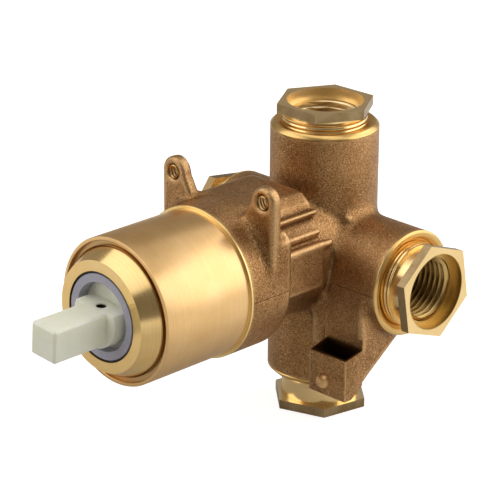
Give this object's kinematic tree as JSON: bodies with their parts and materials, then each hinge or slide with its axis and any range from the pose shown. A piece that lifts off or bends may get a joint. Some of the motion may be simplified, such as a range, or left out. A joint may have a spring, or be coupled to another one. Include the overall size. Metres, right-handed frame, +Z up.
{
  "type": "shower mixer valve",
  "caption": "Rough-in pressure-balancing shower mixer valve: cast bronze body with hex bushings in its ports, a turned barrel, and a cartridge with a square stem.",
  "frame": {"origin": "where the inlet pipes' axis crosses the outlet pipes' axis, inside the casting", "axes": "+X towards the cold inlet, +Z up towards the shower outlet, the stem and the user at -Y"},
  "size_m": [0.0849, 0.1214, 0.0923],
  "materials": {
    "cast_bronze": "blasted casting, bright where it is machined",
    "machined_brass": "satin, as turned",
    "stem_plastic": "translucent, moulded",
    "cap_plastic": "moulded",
    "housing_plastic": "moulded",
    "seal_rubber": "matt",
    "disc_ceramic": "lapped",
    "spool_steel": "ground"
  },
  "bodies": {
    "valve": {"body_casting": "cast_bronze", "retainer_nut": "machined_brass", "cartridge_cap": "cap_plastic", "dust_seal": "seal_rubber", "cartridge_housing": "housing_plastic", "housing_o_ring": "seal_rubber", "cold_port_seal": "seal_rubber", "hot_port_seal": "seal_rubber", "disc_gasket": "seal_rubber", "fixed_disc": "disc_ceramic", "balance_sleeve": "spool_steel", "cold_end_plug": "spool_steel", "hot_end_plug": "spool_steel", "hot_inlet_adaptor": "machined_brass", "cold_inlet_adaptor": "machined_brass", "shower_outlet_adaptor": "machined_brass", "tub_outlet_adaptor": "machined_brass"},
    "stem": {"control_stem": "stem_plastic", "stem_o_ring": "seal_rubber", "rotating_disc": "disc_ceramic"},
    "piston": {"balance_piston": "spool_steel"}
  },
  "joints": [
    {"name": "stem_turn", "type": "hinge", "parent": "valve", "child": "stem", "pos_m": [0, -0.0818, 0.0044], "axis": [0, -1, 0], "range_deg": [0, 140]},
    {"name": "piston_slide", "type": "slide", "parent": "valve", "child": "piston", "axis": [1, 0, 0], "range_m": [-0.0022, 0.0022]}
  ]
}
